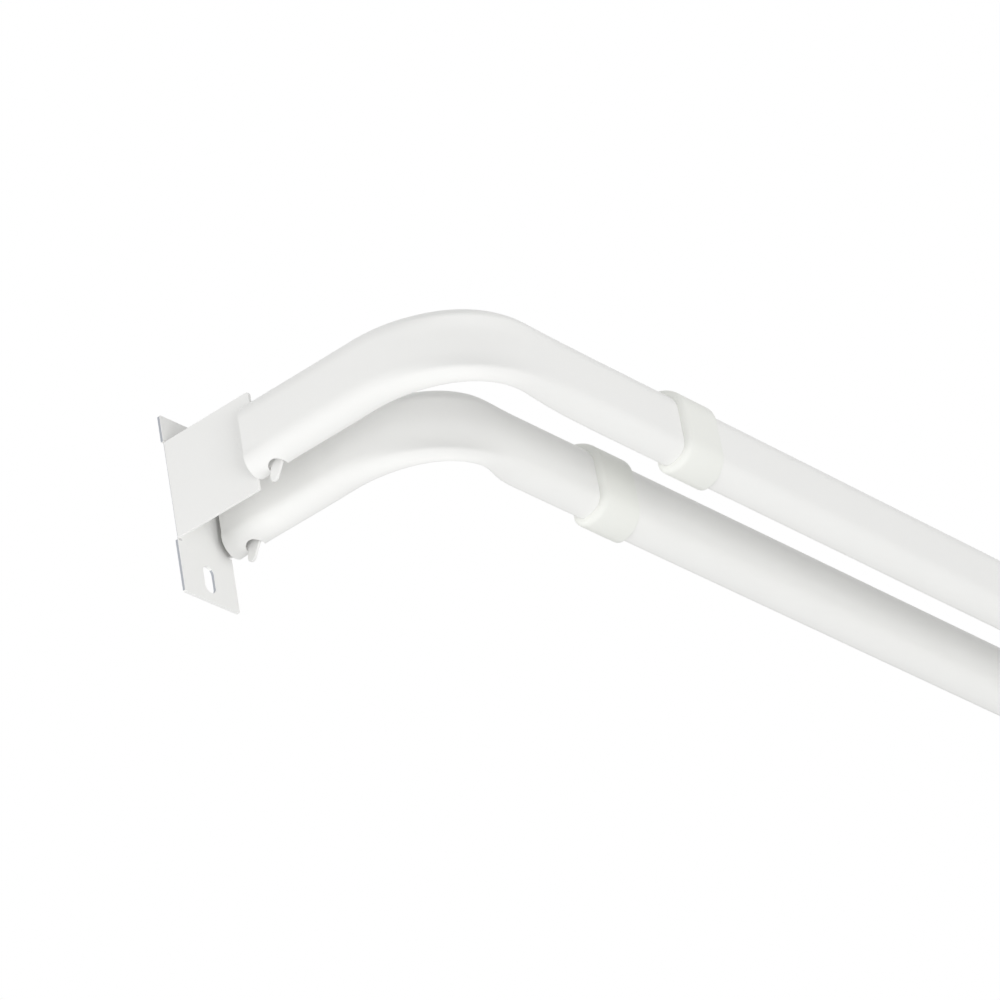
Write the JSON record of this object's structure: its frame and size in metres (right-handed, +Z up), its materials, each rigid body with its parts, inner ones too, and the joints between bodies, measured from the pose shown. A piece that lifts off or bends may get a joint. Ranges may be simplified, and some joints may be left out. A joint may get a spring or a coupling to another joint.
{
  "type": "double curtain rod",
  "caption": "Double curtain rod: nested front and back telescoping rods of lipped sheet-steel channel, bent to the wall at each end and hooked on folded, slotted wall brackets.",
  "frame": {"origin": "wall face of the left bracket, midway between its two screw slots", "axes": "+X along the rods to the right bracket, +Y into the wall, +Z up"},
  "size_m": [0.7456, 0.1173, 0.0604],
  "materials": {
    "bracket_steel": "satin white enamel on folded sheet steel",
    "rod_steel": "satin white enamel on rolled sheet steel",
    "collar_plastic": "smooth off-white moulded plastic"
  },
  "bodies": {
    "left_half": {"left_bracket": "bracket_steel", "front_rod_inner": "rod_steel", "back_rod_inner": "rod_steel"},
    "right_half": {"right_bracket": "bracket_steel", "front_rod_outer": "rod_steel", "back_rod_outer": "rod_steel", "front_collar": "collar_plastic", "back_collar": "collar_plastic"}
  },
  "joints": [
    {"name": "telescope", "type": "slide", "parent": "left_half", "child": "right_half", "axis": [1, 0, 0], "range_m": [-0.035, 0.473]}
  ]
}
